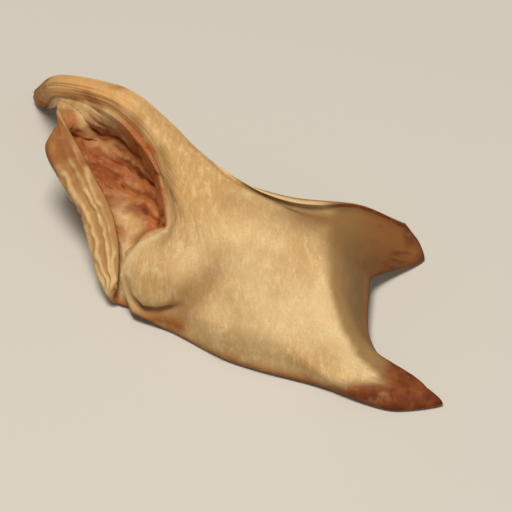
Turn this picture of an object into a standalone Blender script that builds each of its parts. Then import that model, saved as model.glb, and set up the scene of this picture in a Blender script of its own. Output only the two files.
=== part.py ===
"""Dried chanterelle: a small one whose cap has drawn up into a star as it dried.

Cap, false gills and stem grew as one piece of flesh, so the model is one closed solid.

The shape is drawn as it is seen face on, with the felt side of the cap towards the viewer:
u to the right, v up and w out of the page, in millimetres. It is then tipped back to the way
it lies on a table, resting on its horn, its two drooping lobes and the end of its stem.
The model is in metres, +Z up. Its origin is at table height under the middle of its box.
"""

import math

import bmesh
import bpy
import numpy as np

MM = 0.001

# How far the face-on drawing is tipped back, in degrees from upright.
TIP_BACK = 47.0

# The stem's middle line from its cut base to its neck, where the cap begins.
# Each entry is the point (u, v, w), half the width and half the thickness.
STEM = (
    ((-27.4, 20.6, -34.1), 1.4, 1.4),
    ((-24.8, 21.5, -20.5), 1.3, 1.4),
    ((-17.4, 19.5, -9.0), 1.7, 1.5),
    ((-12.6, 15.6, -5.5), 2.1, 1.5),
    ((-9.4, 11.4, -4.0), 2.8, 1.3),
)

# Ribs that run from the stem's base to the margin, in order from the left side to the right.
# The first number is the rib's share of the way across and the second how full the flesh is
# along it. The points are where it crosses the last sections and, at the end, the margin.
# Before its first point a rib lies on the stem.
RIBS = {
    "fold_lip": (
        0.00, 0.0, (-24.6, 17.7, -12.6), (-22.4, 14.2, -10.6), (-20.0, 9.8, -9.4),
        (-17.6, 4.6, -9.0), (-16.9, 0.3, -8.4), (-17.0, -2.6, -8.2), (-17.3, -4.0, -8.4),
    ),
    "fold_crest": (
        0.07, 0.3, (-23.6, 17.0, -13.6), (-25.4, 13.5, -12.2), (-23.2, 9.0, -10.8),
        (-20.6, 4.2, -10.4), (-19.4, -0.6, -9.6), (-18.3, -3.6, -9.1), (-17.6, -5.4, -9.4),
    ),
    "hollow_floor": (
        0.15, 0.35, (-21.4, 17.2, -13.9), (-20.0, 14.4, -15.6), (-18.0, 10.2, -15.2),
        (-15.6, 4.8, -13.2), (-16.4, 0.8, -11.6), (-17.0, -2.8, -10.6), (-16.9, -5.9, -10.4),
    ),
    "hollow_foot": (
        0.22, 0.25, (-19.4, 17.6, -12.2), (-15.6, 14.5, -13.4), (-12.6, 10.0, -12.8),
        (-11.2, 4.4, -11.0), (-14.0, 1.6, -10.0), (-15.5, -2.6, -10.0), (-15.6, -6.4, -10.3),
    ),
    "hollow_wall": (
        0.26, 0.1, (-18.3, 17.5, -10.6), (-14.5, 14.2, -8.0), (-12.0, 9.6, -6.6),
        (-10.9, 3.9, -5.6), (-14.8, 1.2, -7.0), (-16.2, -2.4, -8.2), (-15.3, -6.8, -9.3),
    ),
    "brow": (0.28, 0.2, (-10.6, 3.8, -3.8), (-14.6, 0.9, -5.4), (-16.4, -2.4, -6.4), (-15.0, -7.0, -8.1)),
    "groove": (0.33, 0.55, (-9.3, 4.8, -3.2), (-10.6, -0.6, -3.0), (-10.2, -5.2, -3.8), (-10.6, -9.0, -7.6)),
    "belly_left": (0.39, 1.0, (-8.0, 5.6, -2.3), (-6.5, -1.0, -1.5), (-4.4, -7.4, -1.2), (-2.8, -12.8, -4.0)),
    "belly": (0.47, 1.0, (-6.8, 6.2, -1.9), (-4.0, -0.2, 0.0), (1.4, -9.3, 0.4), (8.2, -15.8, -1.3)),
    "horn_low": (0.54, 1.0, (-5.8, 6.8, -1.8), (-2.0, 0.6, 0.3), (5.4, -11.0, 0.6), (17.2, -18.6, 1.2)),
    "horn": (0.60, 0.9, (-5.0, 7.3, -1.9), (0.0, 1.2, 0.4), (8.1, -11.0, 0.9), (22.6, -17.8, 0.6)),
    "horn_high": (0.66, 0.8, (-4.5, 7.7, -2.0), (1.2, 1.9, 0.4), (9.3, -9.5, 1.1), (20.0, -15.4, 0.8)),
    "shade_edge": (0.71, 0.7, (-4.1, 8.0, -2.1), (2.2, 2.6, 0.3), (9.9, -7.0, 1.0), (14.8, -12.4, -0.9)),
    "bay": (0.77, 0.7, (-3.7, 8.3, -2.3), (3.1, 3.4, -0.2), (9.6, -3.2, 0.3), (13.5, -8.6, -4.8)),
    "droop_low": (0.85, 0.7, (-3.2, 8.6, -2.7), (3.9, 4.6, -0.9), (9.3, 0.4, -0.9), (14.0, -3.0, -9.4)),
    "droop": (0.92, 0.6, (-2.8, 8.9, -3.2), (4.6, 5.6, -2.2), (11.4, 4.0, -4.6), (20.9, -0.3, -15.9)),
    "under_top": (0.96, 0.3, (-2.6, 9.1, -3.4), (5.0, 6.2, -2.4), (11.9, 5.2, -4.9), (20.2, 1.8, -14.6)),
    "top_edge": (1.00, 0.0, (-2.4, 9.3, -3.5), (5.3, 6.9, -2.0), (12.1, 6.3, -4.4), (18.6, 3.9, -11.4)),
}

# Half the flesh's thickness where it is full, at each section from the neck to the margin, and
# half the thickness of its bare edge.
FLESH = (1.3, 0.95, 0.8, 0.65, 0.4)
EDGE = 0.22

# How far the stem's two sides lie behind its middle line, at each of its sections, and how wide
# the fold beside it is at the first two.
ARCH = (0.0, 0.0, 0.6, 0.7, 0.7)
FLANGE = (0.3, 1.3)

# Wrinkles across the hollow, and how far they stand up.
WRINKLES = 4.0
WRINKLE_HEIGHT = 0.4

# False gills on the stem's back. They fork twice as the cap widens, when they have spread to
# this distance from each other. Their height is a share of that distance.
STEM_GILLS = 15
GILL_SPREAD = 1.7
GILL_SHARE = 0.42

# The mesh: columns across the felt side, where the gill side has twice as many, and rows along.
COLUMNS = 60
ROWS = 25

PLACES = np.array([rib[0] for rib in RIBS.values()])
LEFT = RIBS["brow"][0]
FULLNESS = np.array([rib[1] for rib in RIBS.values()])
NECK = len(STEM) - 1
MARGIN = NECK + 4


def smooth(low, high, value):
    """0 below low, 1 above high, and a smooth step between."""
    t = np.clip((value - low) / (high - low), 0.0, 1.0)
    return t * t * (3.0 - 2.0 * t)


def curve_through(knots, values, at):
    """The smooth curve that meets values at knots, with no swing past them, read at each at."""
    steps = np.diff(knots)[:, None]
    slopes = np.diff(values, axis=0) / steps
    before, after = slopes[:-1], slopes[1:]
    same_way = before * after > 0
    total = np.where(same_way, before + after, 1.0)
    inner = np.where(same_way, 2 * before * after / total, 0.0)
    tangents = np.vstack([slopes[:1], inner, slopes[-1:]])
    k = np.clip(np.searchsorted(knots, at, side="right") - 1, 0, len(knots) - 2)
    h = steps[k]
    t = (np.asarray(at) - knots[k])[:, None] / h
    return (
        (2 * t**3 - 3 * t**2 + 1) * values[k]
        + (t**3 - 2 * t**2 + t) * h * tangents[k]
        + (3 * t**2 - 2 * t**3) * values[k + 1]
        + (t**3 - t**2) * h * tangents[k + 1]
    )


def stem_frame():
    """The way across the stem, and the way its felt side faces, at each of its sections."""
    run = np.gradient(np.array([point for point, _, _ in STEM]), axis=0)
    side = np.stack([-run[:, 1], run[:, 0], np.zeros(len(STEM))], axis=1)
    side /= np.linalg.norm(side, axis=1)[:, None]
    normal = np.cross(run, side)
    return side, normal / np.linalg.norm(normal, axis=1)[:, None]


def sections():
    """Where each rib crosses each section, from the stem's base to the margin."""
    found = np.zeros((MARGIN + 1, len(RIBS), 3))
    side, normal = stem_frame()
    share = 2 * np.clip((PLACES - LEFT) / (1 - LEFT), 0, 1) - 1
    beside = np.clip(1 - PLACES / LEFT, 0, 1)
    for row, (point, half_width, _) in enumerate(STEM):
        flange = FLANGE[row] if row < len(FLANGE) else 0
        across = side[row] * (share * half_width - beside * flange)[:, None]
        sunk = normal[row] * (ARCH[row] * share**2)[:, None]
        found[row] = np.array(point) + across - sunk
    for column, (_, _, *points) in enumerate(RIBS.values()):
        found[MARGIN + 1 - len(points) :, column] = points
    return found


SECTIONS = sections()


def smooth_sheet(across, along):
    """The middle of the flesh at every pairing of a place across with a place along."""
    rows = np.arange(MARGIN + 1.0)
    lines = np.stack(
        [curve_through(rows, SECTIONS[:, k], along) for k in range(len(RIBS))], axis=1
    )
    return np.stack([curve_through(PLACES, line, across) for line in lines])


def slopes(surface, across, along):
    """How a surface runs per unit across and per unit along."""
    step = 1e-3
    by_column = (surface(across + step, along) - surface(across - step, along)) / (2 * step)
    by_row = (surface(across, along + step) - surface(across, along - step)) / (2 * step)
    return by_column, by_row


def facing(surface, across, along):
    """The direction in which the felt side faces, evened over a short way across."""
    normal = np.zeros((len(along), len(across), 3))
    for near in (-0.012, 0.0, 0.012):
        by_column, by_row = slopes(surface, np.clip(across + near, 0.002, 0.998), along)
        normal += np.cross(by_row, by_column)
    normal /= np.linalg.norm(normal, axis=2)[..., None]
    _, known = stem_frame()
    of_stem = curve_through(np.arange(len(STEM)), known, np.minimum(along, NECK))
    round_part = smooth(LEFT - 0.02, LEFT + 0.03, across)
    on_stem = (round_part * (1 - smooth(NECK - 0.8, NECK + 0.4, along))[:, None])[..., None]
    normal = on_stem * of_stem[:, None, :] + (1 - on_stem) * normal
    return normal / np.linalg.norm(normal, axis=2)[..., None]


def sheet(across, along):
    """The middle of the flesh with the wrinkles of the hollow."""
    q = np.clip(across / LEFT, 0, 1)[None, :]
    line = along[:, None]
    turns = WRINKLES * q + 0.25 * np.sin(1.6 * line + 1.0) + 0.12 * np.sin(4.1 * line + 4 * q)
    inside = smooth(0.18, 0.4, q) * (1 - smooth(0.82, 1.0, q))
    reach = smooth(2.2, 3.0, line) * (1 - smooth(6.2, 7.2, line))
    height = WRINKLE_HEIGHT * np.sin(2 * math.pi * turns) * inside * reach
    normal = facing(smooth_sheet, across, along)
    return smooth_sheet(across, along) + normal * height[..., None]


def room(across, along):
    """About how far each place is from the margin, and from the nearer side."""
    by_column, by_row = slopes(smooth_sheet, across, along)
    to_margin = np.linalg.norm(by_row, axis=2) * (MARGIN - along)[:, None]
    to_side = np.linalg.norm(by_column, axis=2) * np.minimum(across, 1 - across)
    return to_margin, to_side


def half_thickness(across, along):
    """Half the flesh's thickness: full along the stem's middle, and thinning to every edge."""
    rows = np.arange(MARGIN + 1.0)
    known = np.array([entry[2] for entry in STEM[:-1]] + list(FLESH))[:, None]
    full = curve_through(rows, known, along)
    share = 2 * np.clip((across - LEFT) / (1 - LEFT), 0, 1) - 1
    squareness = 0.5 + 1.2 * smooth(1.0, 2.0, along)
    on_stem = (1 - share[None, :] ** 2) ** squareness[:, None]
    by_rib = curve_through(PLACES, FULLNESS[:, None], across)[:, 0]
    beside = np.where(across < LEFT, by_rib * smooth(1.2, 2.2, along)[:, None], 0)
    on_cap = smooth(NECK - 1.0, NECK + 0.8, along)[:, None]
    shape = (1 - on_cap) * np.maximum(on_stem, beside) + on_cap * by_rib
    to_margin, _ = room(across, along)
    return EDGE + np.minimum((full - EDGE) * shape, 0.3 * to_margin)


def gills(across, along):
    """Height of the false gills, which run down the stem's back and fork towards the margin."""
    by_column, by_row = slopes(smooth_sheet, across, along)
    square_on = np.linalg.norm(np.cross(by_row, by_column), axis=2) / np.linalg.norm(by_row, axis=2)
    spread = square_on / STEM_GILLS
    forks = np.clip(np.log2(spread / GILL_SPREAD), 0, 2)
    height = np.zeros_like(spread)
    for level in range(3):
        count = STEM_GILLS * 2**level
        part = np.clip(1 - np.abs(forks - level), 0, 1)
        crest = 0.5 + 0.5 * np.cos(2 * math.pi * count * across)[None, :]
        height += part * crest * GILL_SHARE * np.minimum(spread / 2**level, GILL_SPREAD)
    start = smooth(NECK - 2.6, NECK - 0.4, along)[:, None]
    to_margin, to_side = room(across, along)
    return np.minimum(height * start, 0.3 * np.minimum(to_margin, to_side))


def eased(middle, away, distance):
    """The distance to go away from the middle, less where a tight fold would cross itself."""
    for _ in range(60):
        surface = middle + away * distance[..., None]
        face = np.cross(np.diff(surface, axis=0)[:, :-1], np.diff(surface, axis=1)[:-1])
        flat = np.cross(np.diff(middle, axis=0)[:, :-1], np.diff(middle, axis=1)[:-1])
        turned = np.sum(face * flat, axis=2) < 0.2 * np.sum(flat * flat, axis=2)
        if not turned.any():
            break
        tight = np.zeros(distance.shape, bool)
        for rows in (slice(None, -1), slice(1, None)):
            for columns in (slice(None, -1), slice(1, None)):
                tight[rows, columns] |= turned
        distance = np.where(tight, 0.85 * distance, distance)
    return distance


def laid_down(points):
    """Tips the face-on drawing back to the way the piece lies, and turns it to metres."""
    tip = math.radians(TIP_BACK)
    u, v, w = points[..., 0], points[..., 1], points[..., 2]
    y = v * math.sin(tip) - w * math.cos(tip)
    z = v * math.cos(tip) + w * math.sin(tip)
    return np.stack([u, y, z], axis=-1) * MM


def skin(bm, points):
    """One side of the flesh: a grid of faces with a vertex at each point, given row by row."""
    rows, columns = points.shape[:2]
    made = bmesh.ops.create_grid(bm, x_segments=columns - 1, y_segments=rows - 1, size=1)
    in_order = sorted(made["verts"], key=lambda vertex: (round(vertex.co.y, 4), vertex.co.x))
    for vertex, point in zip(in_order, points.reshape(-1, 3)):
        vertex.co = point
    return [in_order[k * columns : (k + 1) * columns] for k in range(rows)]


def surface_points(columns):
    """The felt side and the gill side with that many columns, laid down."""
    across = np.linspace(0.0, 1.0, columns + 1)
    even = np.linspace(0.0, 1.0, ROWS + 1)
    along = MARGIN * (even + 0.05 * np.sin(2 * math.pi * even))
    middle = sheet(across, along)
    normal = facing(sheet, across, along)
    half = half_thickness(across, along)
    felt = middle + normal * eased(middle, normal, half)[..., None]
    gill = middle - normal * eased(middle, -normal, half + gills(across, along))[..., None]
    return laid_down(felt), laid_down(gill)


def chanterelle():
    """The closed solid, with the open edges of its two sides joined all round."""
    bm = bmesh.new()
    felt = skin(bm, FELT_SIDE - FOOT)
    ends = [bm.edges.get(pair) for row in (felt[0], felt[-1]) for pair in zip(row, row[1:])]
    bmesh.ops.subdivide_edges(bm, edges=ends, cuts=1)
    skin(bm, GILL_SIDE - FOOT)
    bmesh.ops.bridge_loops(bm, edges=[edge for edge in bm.edges if edge.is_boundary])
    bmesh.ops.recalc_face_normals(bm, faces=bm.faces)
    mesh = bpy.data.meshes.new("chanterelle")
    bm.to_mesh(mesh)
    bm.free()
    return mesh


FELT_SIDE = surface_points(COLUMNS)[0]
GILL_SIDE = surface_points(2 * COLUMNS)[1]
LOW = np.minimum(FELT_SIDE.min(axis=(0, 1)), GILL_SIDE.min(axis=(0, 1)))
HIGH = np.maximum(FELT_SIDE.max(axis=(0, 1)), GILL_SIDE.max(axis=(0, 1)))
FOOT = np.array([(LOW[0] + HIGH[0]) / 2, (LOW[1] + HIGH[1]) / 2, LOW[2]])


def flesh_material():
    material = bpy.data.materials.new("dried_flesh")
    material.use_nodes = True
    shader = material.node_tree.nodes["Principled BSDF"]
    shader.inputs["Base Color"].default_value = (0.56, 0.32, 0.12, 1.0)
    shader.inputs["Roughness"].default_value = 0.85
    shader.inputs["Metallic"].default_value = 0.0
    return material


for thing in list(bpy.data.objects):
    bpy.data.objects.remove(thing)

piece = bpy.data.objects.new("chanterelle", chanterelle())
piece.data.materials.append(flesh_material())
piece.data.shade_smooth()
bpy.context.scene.collection.objects.link(piece)
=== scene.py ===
"""A small dried chanterelle, lying on a pale table.

The mushroom is one piece of flesh, so it is one skin here: a felted top, a gilled underside and
the narrow edge that joins them. It takes the place of the plain solid in the frame.
"""

import math

import bmesh
import bpy
import numpy as np
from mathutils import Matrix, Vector, noise


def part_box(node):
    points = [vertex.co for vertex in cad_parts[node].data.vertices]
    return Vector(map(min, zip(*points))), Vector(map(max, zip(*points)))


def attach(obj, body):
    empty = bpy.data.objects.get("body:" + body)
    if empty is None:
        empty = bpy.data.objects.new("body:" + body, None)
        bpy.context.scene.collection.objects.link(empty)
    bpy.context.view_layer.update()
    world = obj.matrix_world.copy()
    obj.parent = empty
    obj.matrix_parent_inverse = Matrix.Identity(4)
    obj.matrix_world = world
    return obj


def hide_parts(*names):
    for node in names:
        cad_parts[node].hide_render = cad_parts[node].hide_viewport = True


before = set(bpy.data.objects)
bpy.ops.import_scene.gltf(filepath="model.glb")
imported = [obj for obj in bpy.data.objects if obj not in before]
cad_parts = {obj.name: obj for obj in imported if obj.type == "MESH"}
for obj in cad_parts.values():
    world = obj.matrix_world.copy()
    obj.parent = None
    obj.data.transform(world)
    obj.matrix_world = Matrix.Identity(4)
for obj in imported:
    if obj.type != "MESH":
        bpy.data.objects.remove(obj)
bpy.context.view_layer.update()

# The sheet of flesh.
# A chanterelle is a thin sheet that widens from its stem into a cap. Drying has drawn the cap out
# into a star and folded its left side back on itself. It is drawn face on, in millimetres: u to
# the right, v up and w out of the page, and then tipped back to the way it lies.

MM = 0.001
TIP_BACK = 47.0

# Each section of the stem, from its cut base to the neck: its middle, half its width and half its
# thickness.
STEM = (
    ((-27.4, 20.6, -34.1), 1.4, 1.4),
    ((-24.8, 21.5, -20.5), 1.3, 1.4),
    ((-17.4, 19.5, -9.0), 1.7, 1.5),
    ((-12.6, 15.6, -5.5), 2.1, 1.5),
    ((-9.4, 11.4, -4.0), 2.8, 1.3),
)
# At the same sections, how far the stem's sides sink below its middle, and how far the folded side
# stands out beside it.
STEM_ARCH = (0.0, 0.0, 0.6, 0.7, 0.7)
FOLD_BESIDE_STEM = (0.3, 1.3, 0.0, 0.0, 0.0)

# Each rib runs from the stem to the margin: its share of the way across, how full the flesh is
# along it, and where it crosses the last sections.
RIBS = {
    "fold_lip": (
        0.00, 0.0, (-24.6, 17.7, -12.6), (-22.4, 14.2, -10.6), (-20.0, 9.8, -9.4),
        (-17.6, 4.6, -9.0), (-16.9, 0.3, -8.4), (-17.0, -2.6, -8.2), (-17.3, -4.0, -8.4),
    ),
    "fold_crest": (
        0.07, 0.3, (-23.6, 17.0, -13.6), (-25.4, 13.5, -12.2), (-23.2, 9.0, -10.8),
        (-20.6, 4.2, -10.4), (-19.4, -0.6, -9.6), (-18.3, -3.6, -9.1), (-17.6, -5.4, -9.4),
    ),
    "hollow_floor": (
        0.15, 0.35, (-21.4, 17.2, -13.9), (-20.0, 14.4, -15.6), (-18.0, 10.2, -15.2),
        (-15.6, 4.8, -13.2), (-16.4, 0.8, -11.6), (-17.0, -2.8, -10.6), (-16.9, -5.9, -10.4),
    ),
    "hollow_foot": (
        0.22, 0.25, (-19.4, 17.6, -12.2), (-15.6, 14.5, -13.4), (-12.6, 10.0, -12.8),
        (-11.2, 4.4, -11.0), (-14.0, 1.6, -10.0), (-15.5, -2.6, -10.0), (-15.6, -6.4, -10.3),
    ),
    "hollow_wall": (
        0.26, 0.1, (-18.3, 17.5, -10.6), (-14.5, 14.2, -8.0), (-12.0, 9.6, -6.6),
        (-10.9, 3.9, -5.6), (-14.8, 1.2, -7.0), (-16.2, -2.4, -8.2), (-15.3, -6.8, -9.3),
    ),
    "brow": (
        0.28, 0.2, (-10.6, 3.8, -3.8), (-14.6, 0.9, -5.4), (-16.4, -2.4, -6.4), (-15.0, -7.0, -8.1),
    ),
    "groove": (
        0.33, 0.55, (-9.3, 4.8, -3.2), (-10.6, -0.6, -3.0), (-10.2, -5.2, -3.8), (-10.6, -9.0, -7.6),
    ),
    "belly_left": (
        0.39, 1.0, (-8.0, 5.6, -2.3), (-6.5, -1.0, -1.5), (-4.4, -7.4, -1.2), (-2.8, -12.8, -4.0),
    ),
    "belly": (0.47, 1.0, (-6.8, 6.2, -1.9), (-4.0, -0.2, 0.0), (1.4, -9.3, 0.4), (8.2, -15.8, -1.3)),
    "horn_low": (0.54, 1.0, (-5.8, 6.8, -1.8), (-2.0, 0.6, 0.3), (5.4, -11.0, 0.6), (17.2, -18.6, 1.2)),
    "horn": (0.60, 0.9, (-5.0, 7.3, -1.9), (0.0, 1.2, 0.4), (8.1, -11.0, 0.9), (22.6, -17.8, 0.6)),
    "horn_high": (0.66, 0.8, (-4.5, 7.7, -2.0), (1.2, 1.9, 0.4), (9.3, -9.5, 1.1), (20.0, -15.4, 0.8)),
    "shade_edge": (0.71, 0.7, (-4.1, 8.0, -2.1), (2.2, 2.6, 0.3), (9.9, -7.0, 1.0), (14.8, -12.4, -0.9)),
    "bay": (0.77, 0.7, (-3.7, 8.3, -2.3), (3.1, 3.4, -0.2), (9.6, -3.2, 0.3), (13.5, -8.6, -4.8)),
    "droop_low": (0.85, 0.7, (-3.2, 8.6, -2.7), (3.9, 4.6, -0.9), (9.3, 0.4, -0.9), (14.0, -3.0, -9.4)),
    "droop": (0.92, 0.6, (-2.8, 8.9, -3.2), (4.6, 5.6, -2.2), (11.4, 4.0, -4.6), (20.9, -0.3, -15.9)),
    "under_top": (0.96, 0.3, (-2.6, 9.1, -3.4), (5.0, 6.2, -2.4), (11.9, 5.2, -4.9), (20.2, 1.8, -14.6)),
    "top_edge": (1.00, 0.0, (-2.4, 9.3, -3.5), (5.3, 6.9, -2.0), (12.1, 6.3, -4.4), (18.6, 3.9, -11.4)),
}

# Half the thickness of the cap's flesh at each section past the neck, up to the margin, and of
# every edge. From the margin inwards, the flesh gains no more than its taper.
CAP_HALF_THICKNESS = (0.95, 0.8, 0.65, 0.4)
EDGE_HALF_THICKNESS = 0.22
MARGIN_TAPER = 0.3

# Places across are shares of the way from the fold's lip, 0, to the top edge, 1. The brow is where
# the folded side ends. Places along are numbers of sections, counted from the stem's base.
PLACES = np.array([rib[0] for rib in RIBS.values()])
FULLNESS = np.array([rib[1] for rib in RIBS.values()])
BROW = RIBS["brow"][0]
NECK = len(STEM) - 1
MARGIN = NECK + len(CAP_HALF_THICKNESS)

# The felt's direction is evened over these offsets across.
EVENED_OVER = (-0.012, -0.006, 0.0, 0.006, 0.012)


def smooth(low, high, value):
    """0 below low, 1 above high, and a smooth step between."""
    t = np.clip((value - low) / (high - low), 0.0, 1.0)
    return t * t * (3.0 - 2.0 * t)


def fading(distance, reach):
    """1 at no distance, and falling softly to 0 over about that reach."""
    return np.exp(-((distance / reach) ** 2))


def curve_through(knots, values, at):
    """The smooth curve that meets values at knots, with no swing past them, read at each at."""
    steps = np.diff(knots)[:, None]
    rises = np.diff(values, axis=0) / steps
    before, after = rises[:-1], rises[1:]
    same_way = before * after > 0
    total = np.where(same_way, before + after, 1.0)
    inner = np.where(same_way, 2 * before * after / total, 0.0)
    tangents = np.vstack([rises[:1], inner, rises[-1:]])
    k = np.clip(np.searchsorted(knots, at, side="right") - 1, 0, len(knots) - 2)
    h = steps[k]
    t = (np.asarray(at) - knots[k])[:, None] / h
    return (
        (2 * t**3 - 3 * t**2 + 1) * values[k]
        + (t**3 - 2 * t**2 + t) * h * tangents[k]
        + (3 * t**2 - 2 * t**3) * values[k + 1]
        + (t**3 - t**2) * h * tangents[k + 1]
    )


def stem_frame():
    """The way across the stem, and the way its felt side faces, at each of its sections."""
    run = np.gradient(np.array([point for point, _, _ in STEM]), axis=0)
    side = np.stack([-run[:, 1], run[:, 0], np.zeros(len(STEM))], axis=1)
    side /= np.linalg.norm(side, axis=1)[:, None]
    normal = np.cross(run, side)
    return side, normal / np.linalg.norm(normal, axis=1)[:, None]


def share_of_stem(across):
    """-1 at the left side of the stem, 0 in its middle and 1 at its right side."""
    return 2 * np.clip((across - BROW) / (1 - BROW), 0, 1) - 1


def sections():
    """Where each rib crosses each section, from the stem's base to the margin."""
    found = np.zeros((MARGIN + 1, len(RIBS), 3))
    side, normal = stem_frame()
    share = share_of_stem(PLACES)
    beside = np.clip(1 - PLACES / BROW, 0, 1)
    for row, (point, half_width, _) in enumerate(STEM):
        across = side[row] * (share * half_width - beside * FOLD_BESIDE_STEM[row])[:, None]
        sunk = normal[row] * (STEM_ARCH[row] * share**2)[:, None]
        found[row] = np.array(point) + across - sunk
    for column, (_, _, *points) in enumerate(RIBS.values()):
        found[MARGIN + 1 - len(points) :, column] = points
    return found


SECTIONS = sections()


def sheet(across, along):
    """The middle of the flesh at every pairing of a place across with a place along."""
    rows = np.arange(MARGIN + 1.0)
    lines = np.stack(
        [curve_through(rows, SECTIONS[:, k], along) for k in range(len(RIBS))], axis=1
    )
    return np.stack([curve_through(PLACES, line, across) for line in lines])


def slopes(across, along):
    """How the sheet runs per unit across and per unit along."""
    step = 1e-3
    by_column = (sheet(across + step, along) - sheet(across - step, along)) / (2 * step)
    by_row = (sheet(across, along + step) - sheet(across, along - step)) / (2 * step)
    return by_column, by_row


def facing(across, along):
    """The direction in which the felt side faces, evened over a short way across."""
    normal = np.zeros((len(along), len(across), 3))
    for offset in EVENED_OVER:
        by_column, by_row = slopes(np.clip(across + offset, 0.002, 0.998), along)
        normal += np.cross(by_row, by_column)
    normal /= np.linalg.norm(normal, axis=2)[..., None]
    _, known = stem_frame()
    of_stem = curve_through(np.arange(len(STEM)), known, np.minimum(along, NECK))
    round_part = smooth(BROW - 0.02, BROW + 0.03, across)
    on_stem = (round_part * (1 - smooth(NECK - 0.8, NECK + 0.4, along))[:, None])[..., None]
    normal = on_stem * of_stem[:, None, :] + (1 - on_stem) * normal
    return normal / np.linalg.norm(normal, axis=2)[..., None]


def room(across, along):
    """About how far each place is from the margin, and from the nearer side."""
    by_column, by_row = slopes(across, along)
    to_margin = np.linalg.norm(by_row, axis=2) * (MARGIN - along)[:, None]
    to_side = np.linalg.norm(by_column, axis=2) * np.minimum(across, 1 - across)
    return to_margin, to_side


def half_thickness(across, along):
    """Half the flesh's thickness: full along the stem's middle, and thinning to every edge."""
    rows = np.arange(MARGIN + 1.0)
    known = [thickness for _, _, thickness in STEM] + list(CAP_HALF_THICKNESS)
    full = curve_through(rows, np.array(known)[:, None], along)
    # The stem is round at its base, and thins faster towards its sides further up.
    falling_off = 0.5 + 1.2 * smooth(1.0, 2.0, along)
    on_stem = (1 - share_of_stem(across)[None, :] ** 2) ** falling_off[:, None]
    by_rib = curve_through(PLACES, FULLNESS[:, None], across)[:, 0]
    beside = np.where(across < BROW, by_rib * smooth(1.2, 2.2, along)[:, None], 0)
    on_cap = smooth(NECK - 1.0, NECK + 0.8, along)[:, None]
    shape = (1 - on_cap) * np.maximum(on_stem, beside) + on_cap * by_rib
    to_margin, _ = room(across, along)
    gained = np.minimum((full - EDGE_HALF_THICKNESS) * shape, MARGIN_TAPER * to_margin)
    return EDGE_HALF_THICKNESS + gained


def laid_down(points):
    """Tips the face-on drawing back to the way the piece lies, and turns it to metres."""
    tip = math.radians(TIP_BACK)
    u, v, w = points[..., 0], points[..., 1], points[..., 2]
    y = v * math.sin(tip) - w * math.cos(tip)
    z = v * math.cos(tip) + w * math.sin(tip)
    return np.stack([u, y, z], axis=-1) * MM


# The felted top.
# The top of the cap is dry felt over puckered flesh, with shallow lumps, and creases where it has
# shrunk. Fine puckers run from the stem to the margin, and furrows down the stem. The folded left
# side is a hollow with coarse red wrinkles.

# Heights and depths.
LUMP_HEIGHT = 0.16
PUCKER_HEIGHT = 0.07
STEM_FURROW = 0.26
HOLLOW_FOLD = 0.45
LOBE_CREASE_DEPTH = 0.8
LOBE_SWELL_HEIGHT = 0.5
LOBE_VALLEY_DEPTH = 0.55
SHADE_RIDGE_HEIGHT = 0.32
TOP_RIM_HEIGHT = 0.6

# How many bumps there are across the flesh, and from each section to the next.
PUCKERS = (46, 0.9)
STEM_FIBRES = (9, 0.55)

# The hollow's wrinkles follow each other in this direction, drawn face on.
HOLLOW_FOLDS_APART = 2.7
HOLLOW_FOLDS_RUN = (0.45, 0.89)

# Lines drawn face on, as points (u, v).
PALE_CORNER = ((-17.0, 5.4), (-15.1, 3.0), (-16.2, 0.6), (-16.9, -2.6))
HOLLOW_TOP = ((-19.4, 15.6), (-17.0, 15.4))
STAIN_EDGE = (
    (-10.9, 3.6), (-10.7, 6.7), (-11.6, 9.8), (-12.3, 12.9), (-14.9, 16.1), (-16.8, 17.6),
)
ARM_GROOVE = ((-11.2, 12.6), (-10.5, 10.8), (-10.0, 8.8), (-9.8, 6.8))
LOBE_CREASE = ((-16.4, -2.1), (-15.6, -4.8), (-14.1, -6.5), (-11.9, -6.6), (-9.2, -6.1))
BELOW_CREASE = ((-14.8, -7.8), (-11.6, -7.7), (-9.2, -8.4))
LOBE_SWELL = ((-13.2, -1.8), (-8.8, -1.6))
LOBE_TAN_AND_SHADE = ((-13.8, -3.0), (-10.2, -4.2))
LOBE_VALLEY = ((-9.0, -6.1), (-6.4, -3.9), (-3.6, -1.6), (-3.8, 0.0))
BELLY_HIGHLIGHT = ((-0.6, -1.6), (2.4, -7.0))
LOW_SHADE = ((3.4, -12.4), (8.0, -13.2))
HORN_RIDGE = ((9.6, -8.6), (14.9, -14.3))
HORN_DRIED_PAST = (15.4, -15.3)
BRIGHT_EDGE = ((7.7, -5.8), (8.8, -8.4))
SHADE_LINE = ((8.2, 0.6), (9.0, -3.6), (10.1, -7.0), (11.8, -10.6), (14.0, -13.6))
WALL_EDGE = ((14.6, -14.1), (12.1, -11.9), (10.3, -8.8), (8.6, -3.6), (7.9, 2.0))
TOP_BAND = ((-3.5, 6.2), (3.0, 4.7), (10.0, 4.0))

# Places across: where the parts of the cap begin, each from nothing to full, and where single
# features run.
LOBE_PART = (BROW, BROW + 0.02)
RIGHT_PART = (0.45, 0.5)
DROOP_PART = (0.8, 0.86)
BROW_LIP = 0.287
ARM_FLANK = 0.315
TOP_SHADE = 0.91
TOP_DIP = 0.93


def rough(points, per_mm, seed):
    """Smooth unevenness between about -1 and 1 at each point, with that many bumps to a millimetre."""
    flat = points.reshape(-1, 3) * per_mm + seed
    found = np.array([noise.noise(point) for point in flat])
    return found.reshape(points.shape[:-1])


def drawn_out(across, along, bumps):
    """Points whose unevenness runs along the flesh, with so many bumps across and to a section."""
    each_way = np.broadcast_arrays(across[None, :] * bumps[0], along[:, None] * bumps[1], 0.0)
    return np.stack(each_way, axis=-1)


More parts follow.
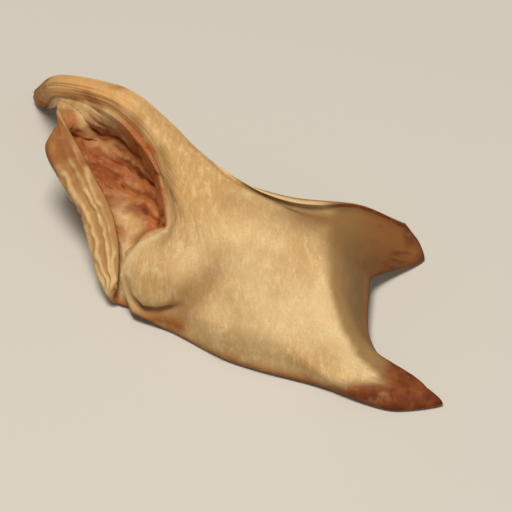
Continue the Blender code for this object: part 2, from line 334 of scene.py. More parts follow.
def near(points, line, reach):
    """1 on a line drawn face on, and falling softly to 0 over about that many millimetres."""
    at = points[..., :2]
    nearest = np.full(points.shape[:-1], np.inf)
    for start, end in zip(line, line[1:]):
        start, end = np.array(start), np.array(end)
        run = end - start
        t = np.clip(((at - start) @ run) / (run @ run), 0, 1)
        nearest = np.minimum(nearest, np.linalg.norm(at - start - t[..., None] * run, axis=-1))
    return fading(nearest, reach)


def right_of(points, line):
    """How far each point is to the right of a line that is drawn face on, from below upwards."""
    line_u, line_v = zip(*line)
    return points[..., 0] - np.interp(points[..., 1], line_v, line_u)


def strongest(first, *others):
    """The strongest of several shares at each point."""
    for other in others:
        first = np.maximum(first, other)
    return first


def in_valley(middle, reach):
    """1 in the valley that runs up from the lobe's crease, and fading along it."""
    return near(middle, LOBE_VALLEY, reach) * (1 - 0.5 * smooth(-6.5, -3.5, middle[..., 0]))


def stem_furrows(across, along, seed):
    """The lengthwise furrows of the shrunken stem, in millimetres. They fade out on the cap."""
    fibres = drawn_out(across, along, STEM_FIBRES)
    furrows = rough(fibres, 1.0, seed) + 0.5 * rough(fibres, 2.2, seed + 4)
    return STEM_FURROW * furrows * (1 - smooth(1.6, 3.4, along[:, None]))


def hollow_wrinkles(across, along, middle):
    """How high each place stands among the hollow's wrinkles, and how far it is in the hollow."""
    to_brow, line = across[None, :] / BROW, along[:, None]
    u, v = middle[..., 0], middle[..., 1]
    ragged = 0.5 * rough(middle, 0.5, 23.0) + 0.3 * rough(middle, 1.2, 27.0)
    from_crest = 0.18 - 0.14 * smooth(9.0, 11.5, v + 1.5 * ragged)
    lip_start = 0.84 + 0.08 * smooth(4.0, 5.6, line)
    in_hollow = smooth(from_crest, from_crest + 0.2, to_brow)
    in_hollow = in_hollow * (1 - smooth(lip_start, lip_start + 0.07, to_brow + 0.06 * ragged))
    in_hollow = in_hollow * smooth(1.3, 2.7, line + 0.9 * ragged) * (1 - smooth(6.2, 7.2, line))
    run = HOLLOW_FOLDS_RUN[0] * u + HOLLOW_FOLDS_RUN[1] * v
    turns = run / HOLLOW_FOLDS_APART + 0.6 * rough(middle, 0.28, 21.0)
    folds = 2 * np.abs(np.sin(math.pi * turns)) - 1
    fine = 1 - 3.2 * np.abs(rough(middle, 0.8, 31.0))
    return 0.75 * folds + 0.45 * fine, in_hollow


def felt_relief(across, along, middle):
    """How far the felt stands above the smooth sheet, and how the hollow is wrinkled."""
    line = along[:, None]
    on_cap = smooth(NECK - 1.5, NECK + 0.5, line)
    on_lobe = smooth(*LOBE_PART, across)[None, :]
    strands = drawn_out(across, along, PUCKERS)
    lumps = rough(middle, 0.22, 3.0) + 0.4 * rough(middle, 0.6, 11.0)
    puckers = rough(strands, 1.0, 5.0) + 0.5 * rough(strands, 2.3, 8.0)
    wrinkles, in_hollow = hollow_wrinkles(across, along, middle)
    crease_fade = 1 - 0.8 * smooth(-11.2, -9.0, middle[..., 0])
    by_top = smooth(0.982, 0.996, across)[None, :] - fading(across - TOP_DIP, 0.04)
    along_top = smooth(4.3, 5.2, line) * (1 - smooth(6.2, 7.0, line))

    relief = LUMP_HEIGHT * lumps * (0.4 + 0.6 * on_cap) + PUCKER_HEIGHT * puckers
    relief = relief + stem_furrows(across, along, 61.0)
    relief = relief + HOLLOW_FOLD * wrinkles * in_hollow
    relief = relief - LOBE_CREASE_DEPTH * near(middle, LOBE_CREASE, 0.5) * crease_fade * on_lobe
    relief = relief + LOBE_SWELL_HEIGHT * near(middle, LOBE_SWELL, 2.6) * on_lobe
    relief = relief - LOBE_VALLEY_DEPTH * in_valley(middle, 1.6) * on_lobe
    relief = relief + SHADE_RIDGE_HEIGHT * near(middle, SHADE_LINE, 0.8) * on_lobe
    relief = relief + TOP_RIM_HEIGHT * by_top * along_top
    return relief, wrinkles, in_hollow


def red_hollow(middle, wrinkles, in_hollow):
    """Where the hollow is red: all of it but its pale low corner and the wrinkles at its top."""
    corner = near(middle, PALE_CORNER, 1.35) * (0.6 + 0.4 * smooth(-0.6, 0.4, wrinkles))
    top = 0.45 * near(middle, HOLLOW_TOP, 2.2) * smooth(-0.4, 0.5, wrinkles)
    return in_hollow * (1 - corner) * (1 - top)


def flank_stain(seen, across, along):
    """1 where the hollow's red runs up the flank of the arm, as far as its edge drawn face on."""
    place, line = across[None, :], along[:, None]
    past_edge = right_of(seen, STAIN_EDGE) + 0.5 * rough(seen, 0.7, 91.0)
    on_arm = smooth(1.7, 2.7, line) * (1 - smooth(5.4, 6.0, line))
    on_flank = smooth(0.23, 0.25, place) * (1 - smooth(0.6, 0.7, place))
    return (1 - smooth(-0.5, 0.5, past_edge)) * smooth(3.0, 3.8, seen[..., 1]) * on_arm * on_flank


def highlighted_felt(place, line, middle):
    """Painted highlights on the felt: the brow's lip, the top edge, the belly and the right's ridges."""
    on_right = smooth(*RIGHT_PART, place)
    lip = 0.6 * fading(place - BROW_LIP, 0.008) * smooth(2.5, 3.5, line)
    return strongest(
        lip * (1 - smooth(6.4, 7.2, line)),
        smooth(0.975, 0.99, place) * smooth(4.3, 5.0, line) * (1 - smooth(6.2, 6.8, line)),
        0.5 * near(middle, HORN_RIDGE, 1.5) * on_right,
        0.5 * near(middle, BRIGHT_EDGE, 1.7) * on_right,
        0.35 * near(middle, BELLY_HIGHLIGHT, 3.4) * smooth(*LOBE_PART, place),
    )


def tan_and_shaded_felt(place, line, middle, to_margin):
    """Where the felt is tan: the arm, and the lobe, partly painted shade there. The lobe's valley, a
    belt above the low margin and a patch low on the right are painted shade in tan.
    """
    on_lobe = smooth(*LOBE_PART, place)
    arm = 0.9 * (1 - smooth(4.9, 6.0, line)) * (0.5 + 0.5 * smooth(2.0, 3.2, line))
    low_belt = 0.5 * fading(to_margin, 3.4) * (1 - smooth(0.6, 0.66, place))
    return strongest(
        arm * on_lobe,
        0.95 * in_valley(middle, 1.9) * on_lobe,
        0.7 * near(middle, LOBE_TAN_AND_SHADE, 2.6) * on_lobe,
        low_belt * on_lobe,
        0.7 * near(middle, LOW_SHADE, 1.2) * smooth(*RIGHT_PART, place),
    )


def right_wall(place, line, middle):
    """1 on the wall at the right, where shade is painted over its real shading. Its edge is crisp low
    down and soft further up.
    """
    v = middle[..., 1]
    softness = 0.42 + 1.2 * smooth(-4.5, 1.0, v)
    wall = smooth(-1.0, 1.0, right_of(middle, WALL_EDGE) / softness)
    wall = wall * smooth(0.55, 0.6, place) * smooth(6.2, 6.8, line)
    return wall * (0.87 + 0.13 * smooth(-2.0, 2.0, v))


def olive_shade_felt(place, line, middle):
    """Where shade is painted on the felt: under the top edge, beside the arm, in its groove and in the
    valley.
    """
    on_lobe = smooth(*LOBE_PART, place)
    beside_arm = 0.6 * fading(place - ARM_FLANK, 0.016) * smooth(2.8, 3.6, line)
    top_band = near(middle, TOP_BAND, 1.9) * smooth(*RIGHT_PART, place)
    return strongest(
        fading(place - TOP_SHADE, 0.05) * smooth(4.4, 5.4, line),
        top_band * (0.3 + 0.55 * smooth(0.0, 7.0, middle[..., 0])),
        beside_arm * (1 - smooth(5.4, 6.0, line)),
        0.6 * near(middle, ARM_GROOVE, 0.6) * on_lobe,
        0.5 * in_valley(middle, 1.9) * on_lobe,
    )


def brown_felt(place, line, middle, to_margin, ragged):
    """Where the felt is brown: the margin, the drooping lobe, and patches on lobe and stem. Below the
    lobe's crease and on the drooping lobe the brown is partly painted shade.
    """
    u = middle[..., 0]
    rim_width = 1.0 + 0.35 * ragged + 1.5 * smooth(1, 8, u) * (1 - smooth(0.56, 0.62, place))
    stem_patches = 0.6 * smooth(0.0, 0.4, rough(middle, 0.33, 95.0))
    return strongest(
        fading(to_margin, rim_width),
        # Partly painted shade, below the lobe's crease.
        near(middle, BELOW_CREASE, 1.1) * smooth(*LOBE_PART, place),
        stem_patches * (1 - smooth(2.4, 3.6, line)),
        # On the drooping lobe the brown is partly painted shade.
        0.8 * smooth(10.0, 17.0, u + 1.2 * ragged) * smooth(*DROOP_PART, place),
    )


def darkest_felt(place, line, middle, to_margin, ragged):
    """Where the felt is quite dark: the tips and their rims, the lobe's crease and the stem's base. In
    the crease it is painted shade.
    """
    u, v = middle[..., 0], middle[..., 1]
    tip_u, tip_v = HORN_DRIED_PAST
    into_tip = np.maximum(tip_v - v, 0.8 * (u - tip_u)) + 0.4 * ragged
    horn_tip = smooth(-0.8, 0.9, into_tip) * smooth(4.5, 8.0, u)
    horn_tip = horn_tip * smooth(*RIGHT_PART, place) * (1 - smooth(0.72, 0.76, place))
    horn_rim = 0.75 * smooth(3.0, 9.0, u) * (1 - smooth(0.62, 0.68, place))
    droop_rim = 0.7 * smooth(11.0, 15.0, u) * smooth(*DROOP_PART, place)
    droop_blots = 0.75 * smooth(0.1, 0.55, ragged) * smooth(13.0, 16.5, u)
    # A line of painted shade in the lobe's crease.
    crease = 0.75 * near(middle, LOBE_CREASE, 0.35) * (1 - 0.8 * smooth(-11.0, -9.0, u))
    return strongest(
        horn_tip,
        fading(to_margin, 1.3) * np.maximum(horn_rim, droop_rim),
        droop_blots * smooth(*DROOP_PART, place),
        crease * smooth(*LOBE_PART, place),
        smooth(0.982, 0.992, place) * smooth(6.2, 6.8, line),
        0.45 * (1 - smooth(0.2, 1.1, line + 0.7 * ragged)),
    )


def felt_tones(across, along, middle, to_margin):
    """How strongly each of the dried flesh's tones, and the painted light and shade, shows at each place
    on the felt.
    """
    place, line = across[None, :], along[:, None]
    ragged = rough(middle, 0.5, 51.0) + 0.5 * rough(middle, 1.3, 57.0)
    wall = right_wall(place, line, middle)
    stem = (0.7 - 0.35 * smooth(-0.2, 0.5, ragged)) * (1 - smooth(1.7, 3.1, line + 0.4 * ragged))
    return {
        # Painted highlights, kept off the painted shade of the wall.
        "pale": highlighted_felt(place, line, middle) * (1 - wall),
        # Tan on the arm; on the lobe it is partly painted shade, and in the valley, the low belt and the
        # low patch it is painted shade.
        "tan": tan_and_shaded_felt(place, line, middle, to_margin),
        # Painted shade in olive: the right wall, under the top edge, beside the arm, in its groove and
        # in the lobe's valley.
        "olive_shade": np.maximum(wall, olive_shade_felt(place, line, middle)),
        "stem": stem * smooth(*LOBE_PART, place),
        "brown": brown_felt(place, line, middle, to_margin, ragged),
        "dark": darkest_felt(place, line, middle, to_margin, ragged),
    }


# The false gills.
# Under the cap there are no true gills: blunt ridges of the same flesh run down from the margin
# onto the stem. They fork as the cap widens, and low veins join them. On the folded strip at the
# left they are crinkled and broken.

STEM_RIDGES = 20
FORKINGS = 4
RIDGE_SPREAD = 0.9
RIDGE_HEIGHT = 0.48
RIDGE_HALF_WIDTH = 0.27
RIDGE_WANDER = 0.34
RIDGE_BENDS = (26, 1.7)
VEIN_HEIGHT = 0.14

FOLD_PART = 0.13
FOLD_CROWDING = 1.3
STRIP_END = (0.08, 0.12)
STRIP_CRINKLE = 0.32
STRIP_BREAKS = 0.55
STRIP_CURL = 13.4


def ridge_paths(across, along):
    """Each ridge's places across and its strength at every row, and how wide the flesh is there.

    Where two ridges have spread too far apart, a new one forks off one of them.
    """
    by_column, by_row = slopes(across, along)
    width = np.linalg.norm(np.cross(by_row, by_column), axis=2) / np.linalg.norm(by_row, axis=2)
    paths = []
    for k in range(STEM_RIDGES):
        place = (k + 0.5) / STEM_RIDGES
        paths.append((np.full(len(along), place), smooth(0.8, 2.8, along)))
    count = STEM_RIDGES
    for level in range(FORKINGS):
        for k in range(count - 1):
            place = (k + 1.0) / count
            spread = np.array([np.interp(place, across, row) for row in width]) / count
            spread *= FOLD_CROWDING if place < FOLD_PART else 1.0
            chance = 0.5 + 0.5 * noise.noise(Vector((7.3 * place + 1.7 * level, 13.1 * k, 4.0)))
            wide = np.nonzero(spread > RIDGE_SPREAD * (0.8 + 0.7 * chance))[0]
            if len(wide) == 0:
                continue
            begin = along[wide[0]]
            parent = place - 0.5 / count if chance < 0.5 else place + 0.5 / count
            apart = smooth(begin - 0.2, begin + 0.7, along)
            fork = parent + (place - parent) * apart
            paths.append((fork, smooth(begin - 0.1, begin + 0.3, along)))
        count *= 2
    return paths, width


def gill_relief(across, along, middle):
    """How far the ridges stand out from the underside, and where their crests are."""
    paths, width = ridge_paths(across, along)
    line = along[:, None]
    on_strip = (1 - smooth(*STRIP_END, across))[None, :]
    wander = RIDGE_WANDER * rough(drawn_out(across, along, RIDGE_BENDS), 1.0, 2.0)
    wander = wander + STRIP_CRINKLE * rough(middle, 0.85, 87.0) * on_strip
    crest = np.zeros_like(width)
    for k, (place, strength) in enumerate(paths):
        distance = (across[None, :] - place[:, None]) * width + wander
        uneven = np.array([noise.noise(Vector((3.7 * k, 1.9 * at, 6.0))) for at in along])
        tall = strength * (0.8 + 0.6 * uneven)
        crest = np.maximum(crest, tall[:, None] * fading(distance, RIDGE_HALF_WIDTH))
    breaks = on_strip * smooth(0.05, 0.55, rough(middle, 0.62, 89.0))
    crest = crest * (1 - breaks * STRIP_BREAKS)
    veins = np.clip(1 - 3.2 * np.abs(rough(middle, 0.75, 41.0)), 0, 1) * (1 - crest)
    height = RIDGE_HEIGHT * crest + VEIN_HEIGHT * veins * smooth(1.2, 3.0, line)
    height = height * (0.55 + 0.45 * smooth(NECK - 1.5, NECK + 1.0, line))
    height = height + stem_furrows(across, along, 67.0)
    to_margin, to_side = room(across, along)
    return np.minimum(height, 0.35 * np.minimum(to_margin, to_side)), crest


def gill_tones(across, along, middle, to_margin, crest):
    """How strongly each of the dried flesh's tones, and the painted shade on the fold's top, shows at
    each place on the underside.
    """
    v = middle[..., 1]
    place, line = across[None, :], along[:, None]
    ragged = rough(middle, 0.5, 71.0) + 0.6 * rough(middle, 1.2, 77.0)
    # The fold's top, brown and dark: its own dark tissue, and partly painted shade where it lies under
    # the stem.
    fold_top_and_shade = smooth(6.8, 13.4, v + 3.4 * ragged) * (1 - smooth(0.1, 0.16, place))
    curl = (1 - smooth(0.006, 0.016, place)) * fading(v - STRIP_CURL, 1.3)
    fold_top_and_shade = fold_top_and_shade * smooth(1.6, 2.4, line) * (1 - curl)
    broken = 0.35 + 0.65 * smooth(-0.35, 0.3, rough(middle, 0.9, 83.0))
    pale_crests = broken * smooth(0.25, 0.8, crest) * (1 - smooth(*STRIP_END, place))
    base = 1 - smooth(0.2, 1.1, line + 0.5 * ragged)
    return {
        "pale": pale_crests * (1 - fold_top_and_shade),
        "tan": np.zeros_like(v),
        "olive_shade": np.zeros_like(v),
        "stem": 0.5 * (1 - smooth(1.7, 3.3, line + 0.4 * ragged)),
        "brown": strongest(0.8 * fading(to_margin, 0.7), 0.8 * fold_top_and_shade, 0.7 * base),
        "dark": np.maximum(0.4 * fold_top_and_shade, 0.45 * base),
    }


# The one skin.
# Both sides are grids that share the sheet's middle, each pushed out by half the flesh. The open
# edges are bridged all round, so the skin is closed, thin at the margin and round at the stem.

# How many faces the felt has across, and how many both sides have from the stem's base to the
# margin. The rows stand closer together half way along, and the columns where the lobe is creased.
FELT_COLUMNS = 230
ROWS = 136
CLOSER_HALF_WAY = 0.05
CREASED_PLACE = 0.335
CREASED_REACH = 0.045
CLOSER_WHERE_CREASED = 1.2
RELIEF_FADES_OVER = 1.2

# In a tight fold the flesh is thinned step by step, until no face of the skin is turned over or
# smaller than this share of the face of the sheet within it.
MOST_EASINGS = 60
EASED_TO = 0.85
LEAST_SHARE = 0.1


def evenly_apart(columns):
    """The place across of each column: evenly apart on the cap, and closer on its creased lobe."""
    fine = np.linspace(0.0, 1.0, 1601)
    on_cap = np.array([5.0, 6.0, 7.0, 7.6])
    by_column, _ = slopes(fine, on_cap)
    width = np.linalg.norm(by_column, axis=2).mean(axis=0)
    width = width * (1 + CLOSER_WHERE_CREASED * fading(fine - CREASED_PLACE, CREASED_REACH))
    run = np.append(0.0, np.cumsum((width[1:] + width[:-1]) / 2))
    return np.interp(np.linspace(0.0, run[-1], columns + 1), run, fine)


def eased(middle, away, distance):
    """The distance to go away from the middle, less where a tight fold would cross itself."""
    for _ in range(MOST_EASINGS):
        surface = middle + away * distance[..., None]
        face = np.cross(np.diff(surface, axis=0)[:, :-1], np.diff(surface, axis=1)[:-1])
        flat = np.cross(np.diff(middle, axis=0)[:, :-1], np.diff(middle, axis=1)[:-1])
        turned = np.sum(face * flat, axis=2) < LEAST_SHARE * np.sum(flat * flat, axis=2)
        if not turned.any():
            break
        tight = np.zeros(distance.shape, bool)
        for rows in (slice(None, -1), slice(1, None)):
            for columns in (slice(None, -1), slice(1, None)):
                tight[rows, columns] |= turned
        distance = np.where(tight, EASED_TO * distance, distance)
    return distance


def side_of_flesh(columns, underside):
    """One side's points, laid down, and what its colours need at each point."""
    across = evenly_apart(columns)
    even = np.linspace(0.0, 1.0, ROWS + 1)
    along = MARGIN * (even + CLOSER_HALF_WAY * np.sin(2 * math.pi * even))
    middle = sheet(across, along)
    normal = facing(across, along)
    half = half_thickness(across, along)
    to_margin, to_side = room(across, along)
    if underside:
        relief, crest = gill_relief(across, along, middle)
        points = middle - normal * eased(middle, -normal, half + relief)[..., None]
        hollow = np.zeros_like(crest)
        tones = gill_tones(across, along, middle, to_margin, crest)
    else:
        relief, crest, in_hollow = felt_relief(across, along, middle)
        # The relief fades out towards every edge but the top one, which has its raised rim.
        to_edge = np.minimum(to_margin, np.where(across > 0.5, np.inf, to_side))
        relief = relief * smooth(0.0, RELIEF_FADES_OVER, to_edge)
        points = middle + normal * eased(middle, normal, half + relief)[..., None]
        stain = flank_stain(points, across, along)
        hollow = np.maximum(red_hollow(middle, crest, in_hollow), stain)
        tones = felt_tones(across, along, middle, to_margin)
    tones["hollow"] = hollow
    # Painted light: the hollow's wall, which lies in shade, takes a brighter red.
    tones["hollow_wall"] = hollow * smooth(0.6, 0.8, across / BROW)[None, :]
    tones["crest"] = crest
    tones["underside"] = np.full_like(crest, float(underside))
    return laid_down(points), tones


def skin(bm, points, tones, layers):
    """Makes one side of the flesh, a grid with a vertex at each point, and returns its rows."""
    rows, columns = points.shape[:2]
    made = bmesh.ops.create_grid(bm, x_segments=columns - 1, y_segments=rows - 1, size=1)
    in_order = sorted(made["verts"], key=lambda vertex: (round(vertex.co.y, 5), vertex.co.x))
    for vertex, point in zip(in_order, points.reshape(-1, 3)):
        vertex.co = point
    for name, layer in layers.items():
        for vertex, share in zip(in_order, tones[name].flat):
            vertex[layer] = float(share)
    return [in_order[k * columns : (k + 1) * columns] for k in range(rows)]


def middle_of_foot(low, high):
    """The middle of a box's underside."""
    return np.array([(low[0] + high[0]) / 2, (low[1] + high[1]) / 2, low[2]])


felt_points, felt_zones = side_of_flesh(FELT_COLUMNS, False)
gill_points, gill_zones = side_of_flesh(2 * FELT_COLUMNS, True)

# The skin lies where the solid in the frame lies.
every_point = np.concatenate([felt_points.reshape(-1, 3), gill_points.reshape(-1, 3)])
foot = middle_of_foot(every_point.min(axis=0), every_point.max(axis=0))
shift = middle_of_foot(*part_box("chanterelle")) - foot

# The gill side has twice the columns, so each edge of the felt's two end rows is halved.
bm = bmesh.new()
layers = {name: bm.verts.layers.float.new(name) for name in felt_zones}
felt = skin(bm, felt_points + shift, felt_zones, layers)
ends = [bm.edges.get(pair) for row in (felt[0], felt[-1]) for pair in zip(row, row[1:])]
bmesh.ops.subdivide_edges(bm, edges=ends, cuts=1)
skin(bm, gill_points + shift, gill_zones, layers)
bmesh.ops.bridge_loops(bm, edges=[edge for edge in bm.edges if edge.is_boundary])
bmesh.ops.recalc_face_normals(bm, faces=bm.faces)
flesh_mesh = bpy.data.meshes.new("chanterelle_flesh")
bm.to_mesh(flesh_mesh)
bm.free()
flesh = bpy.data.objects.new("chanterelle_flesh", flesh_mesh)
bpy.context.scene.collection.objects.link(flesh)
flesh_mesh.shade_smooth()

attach(flesh, "root")
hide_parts("chanterelle")

# The dried flesh's colour.
# Felt dries to a pale straw buff that is mottled and faintly streaked. The margin and the folds
# dry dark, red-brown and a little waxy. The ridges below are pale along their crests.

# Light and shade are painted into some of these colours: cream highlights, olive and tan shade, brown
# and dark shade by the lobe's crease, on the drooping lobe and the fold's top, darker reds between the
# hollow's wrinkles, and a brighter red on its shaded wall.
STRAW = (0.72, 0.51, 0.25)
BUFF = (0.57, 0.37, 0.16)
OCHRE = (0.52, 0.3, 0.115)
CREAM = (0.84, 0.655, 0.38)
# Tan for the arm, also laid as painted shade on the lobe, in its valley and above the low margin.
TAN_AND_SHADE = (0.55, 0.32, 0.12)
STEM_ORANGE = (0.78, 0.41, 0.15)
# Painted shade: the olive-brown laid where the felt lies in shade.
OLIVE_SHADE = (0.25, 0.133, 0.046)
RIM_BROWN = (0.37, 0.135, 0.036)
RED_BROWN = (0.135, 0.027, 0.006)
RUSSET = (0.27, 0.07, 0.014)
WARM_RED = (0.4, 0.145, 0.042)
HOLLOW_RED = (0.32, 0.088, 0.024)
# Darker red between the hollow's wrinkles: partly painted shade.
HOLLOW_DARK_AND_SHADE = (0.145, 0.034, 0.011)
# Painted light: a brighter red for the hollow's shaded wall.
HOLLOW_WALL_LIT_RED = (0.5, 0.155, 0.04)
DUSTY_PINK = (0.54, 0.33, 0.18)
CREST_CREAM = (0.61, 0.4, 0.185)
VALLEY_BROWN = (0.42, 0.225, 0.085)

FELT_ROUGHNESS = 0.9
WAXY_ROUGHNESS = 0.62
FLESH_SPECULAR = 0.18
FUZZ_STRENGTH = 0.5
FUZZ_DEPTH = 0.12
STREAK_STRETCH = (1.0, 0.34, 0.34)
FLECK_STRETCH = (1.0, 0.42, 0.42)

flesh_material = bpy.data.materials.new("dried_flesh")
flesh_material.use_nodes = True
tree = flesh_material.node_tree
shader = tree.nodes["Principled BSDF"]
place = tree.nodes.new("ShaderNodeTexCoord").outputs["Object"]


def read(name):
    """How strongly that tone shows, as the mesh says at each vertex."""
    node = tree.nodes.new("ShaderNodeAttribute")
    node.attribute_name = name
    return node.outputs["Fac"]


def grain(size_mm, detail=3.0, roughness=0.55, stretch=(1, 1, 1), distortion=0.0):
    """Noise with features about that many millimetres across."""
    mapping = tree.nodes.new("ShaderNodeMapping")
    mapping.inputs["Scale"].default_value = stretch
    tree.links.new(place, mapping.inputs["Vector"])
    node = tree.nodes.new("ShaderNodeTexNoise")
    node.inputs["Scale"].default_value = 1 / (size_mm * MM)
    node.inputs["Detail"].default_value = detail
    node.inputs["Roughness"].default_value = roughness
    node.inputs["Distortion"].default_value = distortion
    tree.links.new(mapping.outputs["Vector"], node.inputs["Vector"])
    return node.outputs["Fac"]


def ranged(value, low, high, to_low=0.0, to_high=1.0):
    """The value with low to high drawn smoothly over to_low to to_high."""
    node = tree.nodes.new("ShaderNodeMapRange")
    node.interpolation_type = "SMOOTHSTEP"
    tree.links.new(value, node.inputs["Value"])
    node.inputs["From Min"].default_value = low
    node.inputs["From Max"].default_value = high
    node.inputs["To Min"].default_value = to_low
    node.inputs["To Max"].default_value = to_high
    return node.outputs["Result"]


def maths(operation, a, b):
    """One step of arithmetic on two values, each a number or another node's output."""
    node = tree.nodes.new("ShaderNodeMath")
    node.operation = operation
    for socket, value in zip(node.inputs, (a, b)):
        if isinstance(value, (int, float)):
            socket.default_value = value
        else:
            tree.links.new(value, socket)
    return node.outputs["Value"]


def mixed(share, a, b):
    """Colour a, going over to colour b as the share goes from 0 to 1."""
    node = tree.nodes.new("ShaderNodeMix")
    node.data_type = "RGBA"
    tree.links.new(share, node.inputs[0])
    for socket, value in ((node.inputs[6], a), (node.inputs[7], b)):
        if isinstance(value, tuple):
            socket.default_value = (*value, 1.0)
        else:
            tree.links.new(value, socket)
    return node.outputs[2]


hollow = read("hollow")
crest = read("crest")
# The pale share: painted highlights on the felt, and pale crests below.
pale = maths("MULTIPLY", read("pale"), 0.8)
olive_shade = maths("MULTIPLY", read("olive_shade"), 0.95)

# The felt: mottled, tan in parts, partly painted shade, with pale streaks and flecks and darker pits.
felt_colour = mixed(ranged(grain(6.0), 0.35, 0.65), STRAW, BUFF)
felt_colour = mixed(ranged(grain(1.6, 4.0), 0.55, 0.8, 0.0, 0.3), felt_colour, OCHRE)
felt_colour = mixed(read("tan"), felt_colour, TAN_AND_SHADE)
streaks = grain(0.36, 3.0, 0.6, stretch=STREAK_STRETCH, distortion=0.4)
felt_colour = mixed(ranged(streaks, 0.45, 0.75, 0.0, 0.4), felt_colour, CREAM)
flecks = grain(0.9, 3.0, 0.6, stretch=FLECK_STRETCH, distortion=0.3)
felt_colour = mixed(ranged(flecks, 0.48, 0.72, 0.0, 0.42), felt_colour, CREAM)
pits = grain(0.28, 2.0, 0.6)
felt_colour = mixed(ranged(pits, 0.3, 0.5, 0.4, 0.0), felt_colour, OCHRE)
# Painted highlights in cream, on the brow's lip, the top edge's rim, the belly and the right's ridges.
felt_colour = mixed(pale, felt_colour, CREAM)
# Painted shade in olive on the right wall, under the top edge, by the arm and in the lobe's valley.
felt_colour = mixed(olive_shade, felt_colour, OLIVE_SHADE)

# The hollow: red, with painted light on its shaded wall, darker between its wrinkles, partly painted
# shade, and dusty on top of them.
hollow_colour = mixed(ranged(grain(3.2), 0.4, 0.62), HOLLOW_RED, WARM_RED)
hollow_colour = mixed(read("hollow_wall"), hollow_colour, HOLLOW_WALL_LIT_RED)
hollow_colour = mixed(ranged(crest, -0.9, -0.15, 0.92, 0.0), hollow_colour, HOLLOW_DARK_AND_SHADE)
raised = maths("MULTIPLY", ranged(crest, 0.2, 0.9), ranged(grain(0.8, 4.0, 0.7), 0.42, 0.62))
hollow_colour = mixed(maths("MULTIPLY", raised, 0.45), hollow_colour, DUSTY_PINK)
felt_colour = mixed(hollow, felt_colour, hollow_colour)

# The underside: brown between the ridges and cream on their crests.
gill_colour = mixed(ranged(crest, 0.05, 0.8), VALLEY_BROWN, CREST_CREAM)
gill_colour = mixed(ranged(grain(2.4), 0.45, 0.7, 0.0, 0.45), gill_colour, OCHRE)
gill_colour = mixed(pale, gill_colour, STRAW)

# Both sides: an orange stem, and a margin and tips that have dried brown or darker, with painted shade
# in brown and dark by the lobe's crease, on the drooping lobe and on the fold's top.
colour = mixed(read("underside"), felt_colour, gill_colour)
colour = mixed(read("stem"), colour, STEM_ORANGE)
brown_and_shade = maths("MULTIPLY", read("brown"), ranged(grain(1.5), 0.3, 0.55, 0.7, 1.0))
colour = mixed(brown_and_shade, colour, RIM_BROWN)
# The dark share also holds the painted shade in the lobe's crease.
dried = maths("MULTIPLY", read("dark"), ranged(grain(1.8), 0.25, 0.5, 0.7, 1.0))
dried_colour = mixed(ranged(grain(2.0), 0.35, 0.7, 0.0, 0.85), RED_BROWN, RUSSET)
colour = mixed(dried, colour, dried_colour)
tree.links.new(colour, shader.inputs["Base Color"])

waxy = maths("MAXIMUM", dried, hollow)
dullness = ranged(waxy, 0.0, 1.0, FELT_ROUGHNESS, WAXY_ROUGHNESS)
tree.links.new(dullness, shader.inputs["Roughness"])
shader.inputs["Specular IOR Level"].default_value = FLESH_SPECULAR

bump = tree.nodes.new("ShaderNodeBump")
bump.inputs["Strength"].default_value = FUZZ_STRENGTH
bump.inputs["Distance"].default_value = FUZZ_DEPTH * MM
hairs = maths("MULTIPLY", grain(0.2, 4.0, 0.7), 0.9)
fuzz = maths("ADD", hairs, maths("MULTIPLY", streaks, 0.35))
tree.links.new(fuzz, bump.inputs["Height"])
tree.links.new(bump.outputs["Normal"], shader.inputs["Normal"])
flesh_mesh.materials.append(flesh_material)

# The table, the light and the camera.
# A plain pale table carries the piece. Soft light comes from above and to the left. The camera
# looks down from the front, half a metre away.

TABLE_SIZE = 3.0
TABLE_COLOUR = (0.62, 0.6, 0.56, 1.0)
TABLE_ROUGHNESS = 0.7
ROOM_COLOUR = (1.0, 0.94, 0.85, 1.0)
ROOM_STRENGTH = 0.16
CAMERA_DISTANCE = 0.5
CAMERA_ELEVATION = 47.0
SENSOR_WIDTH = 36.0
VIEW_WIDTH = 0.062

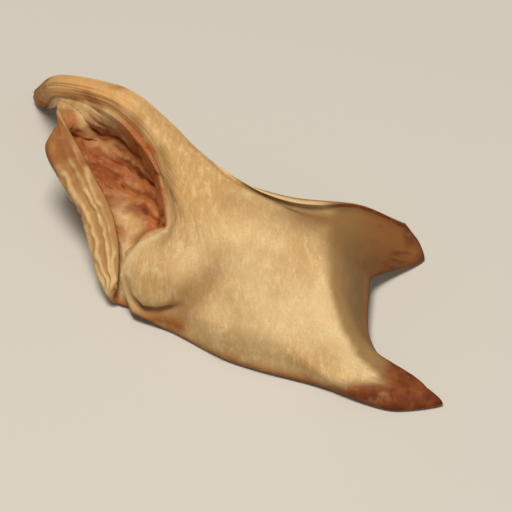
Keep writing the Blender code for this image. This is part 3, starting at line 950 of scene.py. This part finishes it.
bm = bmesh.new()
bmesh.ops.create_grid(bm, x_segments=1, y_segments=1, size=TABLE_SIZE / 2)
table_mesh = bpy.data.meshes.new("table")
bm.to_mesh(table_mesh)
bm.free()
table = bpy.data.objects.new("table", table_mesh)
bpy.context.scene.collection.objects.link(table)
table_material = bpy.data.materials.new("pale_table")
table_material.use_nodes = True
table_shader = table_material.node_tree.nodes["Principled BSDF"]
table_shader.inputs["Base Color"].default_value = TABLE_COLOUR
table_shader.inputs["Roughness"].default_value = TABLE_ROUGHNESS
table_mesh.materials.append(table_material)

world = bpy.data.worlds.new("studio")
world.use_nodes = True
room_light = world.node_tree.nodes["Background"]
room_light.inputs["Color"].default_value = ROOM_COLOUR
room_light.inputs["Strength"].default_value = ROOM_STRENGTH
bpy.context.scene.world = world


def lamp(name, place_m, size_m, watts, tint):
    """A square soft light that shines at the middle of the table."""
    data = bpy.data.lights.new(name, "AREA")
    data.size = size_m
    data.energy = watts
    data.color = tint
    holder = bpy.data.objects.new(name, data)
    holder.location = place_m
    holder.rotation_mode = "QUATERNION"
    holder.rotation_quaternion = (-Vector(place_m)).to_track_quat("-Z", "Y")
    bpy.context.scene.collection.objects.link(holder)


lamp("key_light", (-0.06, -0.16, 0.68), 0.2, 4.6, (1.0, 0.94, 0.84))
lamp("fill_light", (0.3, -0.6, 0.5), 0.6, 0.4, (1.0, 0.97, 0.94))

# The camera aims at the place where the face-on drawing has its origin.
aim = Vector(shift)
tilt = math.radians(CAMERA_ELEVATION)
back = Vector((0, -math.cos(tilt), math.sin(tilt)))
camera_data = bpy.data.cameras.new("camera")
camera_data.sensor_width = SENSOR_WIDTH
camera_data.lens = SENSOR_WIDTH * CAMERA_DISTANCE / VIEW_WIDTH
camera_data.clip_start = 0.01
camera = bpy.data.objects.new("camera", camera_data)
camera.location = aim + back * CAMERA_DISTANCE
camera.rotation_mode = "QUATERNION"
camera.rotation_quaternion = (-back).to_track_quat("-Z", "Y")
bpy.context.scene.collection.objects.link(camera)
bpy.context.scene.camera = camera
bpy.context.scene.view_settings.view_transform = "Standard"
